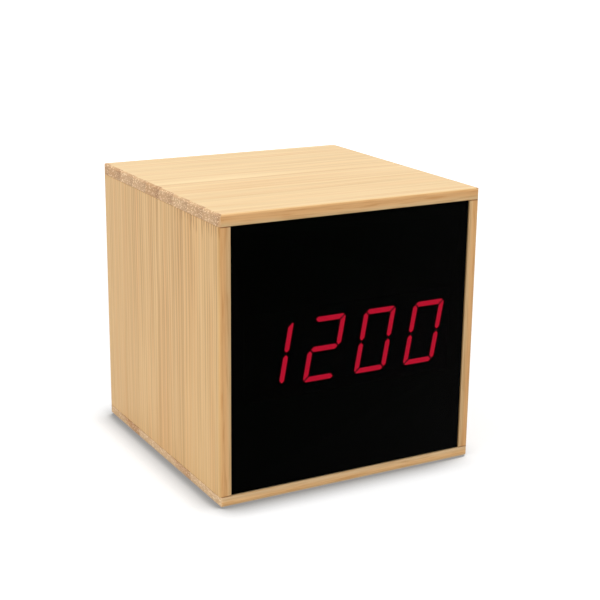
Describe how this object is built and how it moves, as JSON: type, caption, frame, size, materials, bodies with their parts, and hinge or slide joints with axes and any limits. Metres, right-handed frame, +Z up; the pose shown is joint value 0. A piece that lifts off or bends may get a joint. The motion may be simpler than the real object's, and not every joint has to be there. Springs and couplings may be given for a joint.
{
  "type": "alarm clock",
  "caption": "Cube-shaped bamboo alarm clock with a smoked front sheet, a red digit display behind it, and push-buttons and a hinged battery door on its back.",
  "frame": {"origin": "centre of the underside, on the surface that the clock stands on", "axes": "+X to the right along the front, +Y from the display to the rear cover, +Z up"},
  "size_m": [0.062, 0.062, 0.062],
  "materials": {
    "bamboo": "edge-laminated bamboo with a thin matt lacquer",
    "smoked_acrylic": "smoked, polished",
    "black_abs": "fine moulded texture",
    "grey_abs": "moulded, satin",
    "display_housing": "matt black",
    "lit_red": "diffusing resin, lit",
    "dark_red": "diffusing resin, unlit",
    "circuit_board": "solder mask",
    "chip_resin": "moulded resin",
    "tinned_metal": "tinned",
    "steel": "zinc plated",
    "spring_steel": "nickel plated wire",
    "socket_shell": "nickel plated sheet",
    "aluminium_can": "drawn can",
    "cell_sleeve": "printed film over the can",
    "lead_pvc": "soft insulation",
    "grey_pvc": "flat cable insulation"
  },
  "bodies": {
    "case": {"top_board": "bamboo", "bottom_board": "bamboo", "left_board": "bamboo", "right_board": "bamboo", "corner_posts": "bamboo", "display_panel": "smoked_acrylic", "display_frame": "black_abs", "led_housing": "display_housing", "lit_segments": "lit_red", "unlit_segments": "dark_red", "display_pins": "tinned_metal", "main_board": "circuit_board", "board_screws": "steel", "clock_chip": "chip_resin", "crystal_can": "tinned_metal", "buzzer": "chip_resin", "capacitor": "aluminium_can", "ribbon_cable": "grey_pvc", "rear_cover": "black_abs", "cover_screws": "steel", "aaa_cells": "cell_sleeve", "contact_springs": "spring_steel", "contact_plates": "tinned_metal", "battery_leads": "lead_pvc", "switch_board": "circuit_board", "switch_board_screws": "steel", "tact_switches": "chip_resin", "power_socket": "socket_shell", "socket_tongue": "chip_resin"},
    "door": {"battery_door": "black_abs"},
    "set_key": {"set_button": "grey_abs", "set_plunger": "chip_resin"},
    "down_key": {"down_button": "grey_abs", "down_plunger": "chip_resin"},
    "up_key": {"up_button": "grey_abs", "up_plunger": "chip_resin"}
  },
  "joints": [
    {"name": "door_hinge", "type": "hinge", "parent": "case", "child": "door", "pos_m": [0, 0.0288, 0.01], "axis": [-1, 0, 0], "range_deg": [0, 95]},
    {"name": "set_press", "type": "slide", "parent": "case", "child": "set_key", "axis": [0, -1, 0], "range_m": [0, 0.0005], "stiffness_N_per_m": 2000, "springref_m": -0.0002},
    {"name": "down_press", "type": "slide", "parent": "case", "child": "down_key", "axis": [0, -1, 0], "range_m": [0, 0.0005], "stiffness_N_per_m": 2000, "springref_m": -0.0002},
    {"name": "up_press", "type": "slide", "parent": "case", "child": "up_key", "axis": [0, -1, 0], "range_m": [0, 0.0005], "stiffness_N_per_m": 2000, "springref_m": -0.0002}
  ]
}
